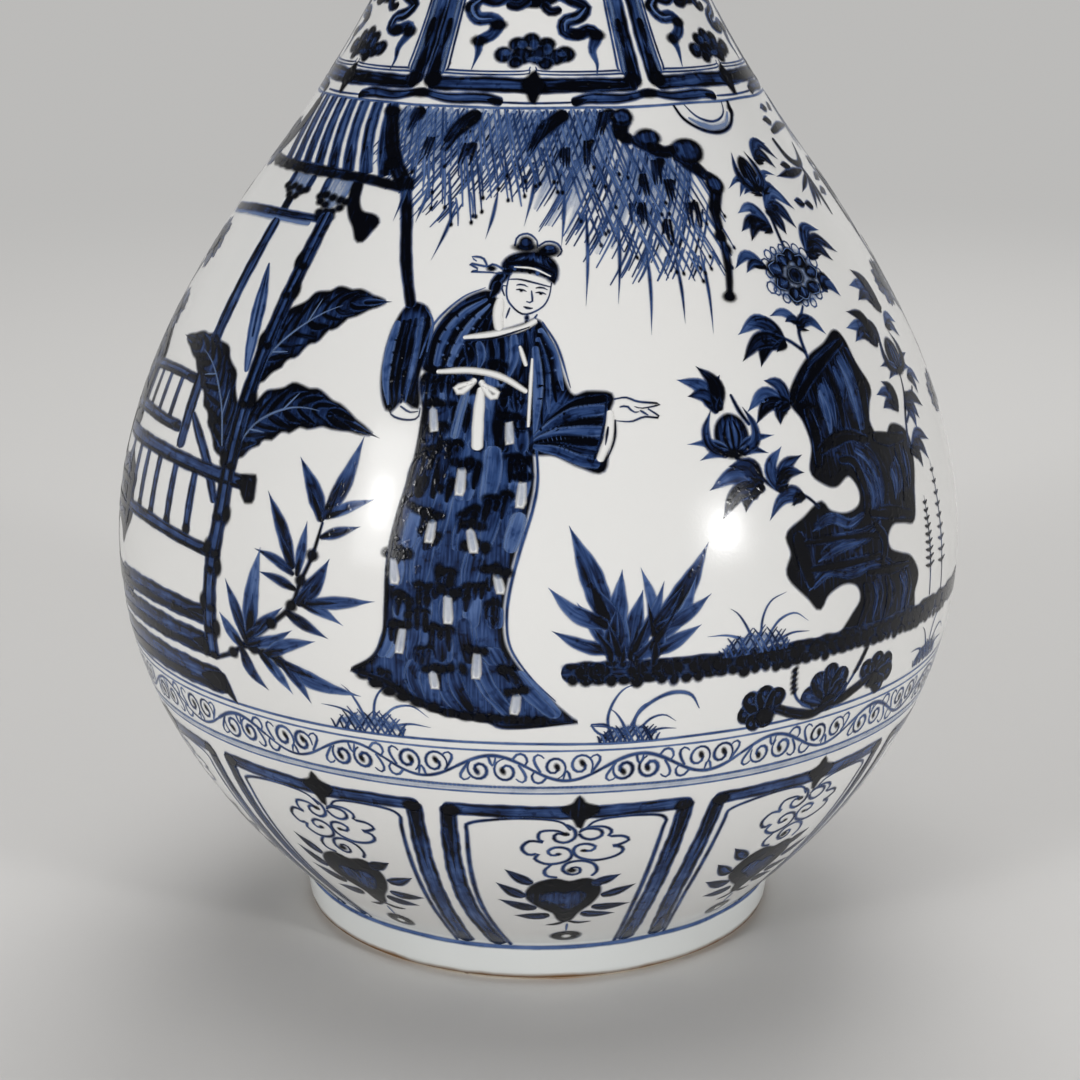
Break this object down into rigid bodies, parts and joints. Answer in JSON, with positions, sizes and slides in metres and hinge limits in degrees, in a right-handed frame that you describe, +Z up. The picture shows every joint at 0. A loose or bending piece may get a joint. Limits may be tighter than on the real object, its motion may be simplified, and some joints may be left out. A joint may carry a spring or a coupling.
{
  "type": "yuhuchunping vase",
  "caption": "Pear-shaped porcelain bottle vase with a slim neck, flared mouth and low foot ring, painted in blue under a clear glaze, for pouring wine or holding a flower stem.",
  "frame": {"origin": "centre of the foot ring on the table", "axes": "+Z up the axis of the vase to its mouth, -Y towards the painted figure"},
  "size_m": [0.16, 0.16, 0.3],
  "materials": {
    "glaze": "clear gloss over white porcelain",
    "clay": "bare fired clay",
    "slip": "fired slip",
    "cobalt": "cobalt blue under clear gloss"
  },
  "bodies": {
    "root": {"foot_ring": "clay", "foot_luting": "slip", "lower_body": "clay", "belly_luting": "slip", "upper_body": "clay", "shoulder_luting": "slip", "neck_section": "clay", "outer_glaze": "glaze", "inner_glaze": "glaze", "base_glaze": "glaze"}
  },
  "joints": []
}
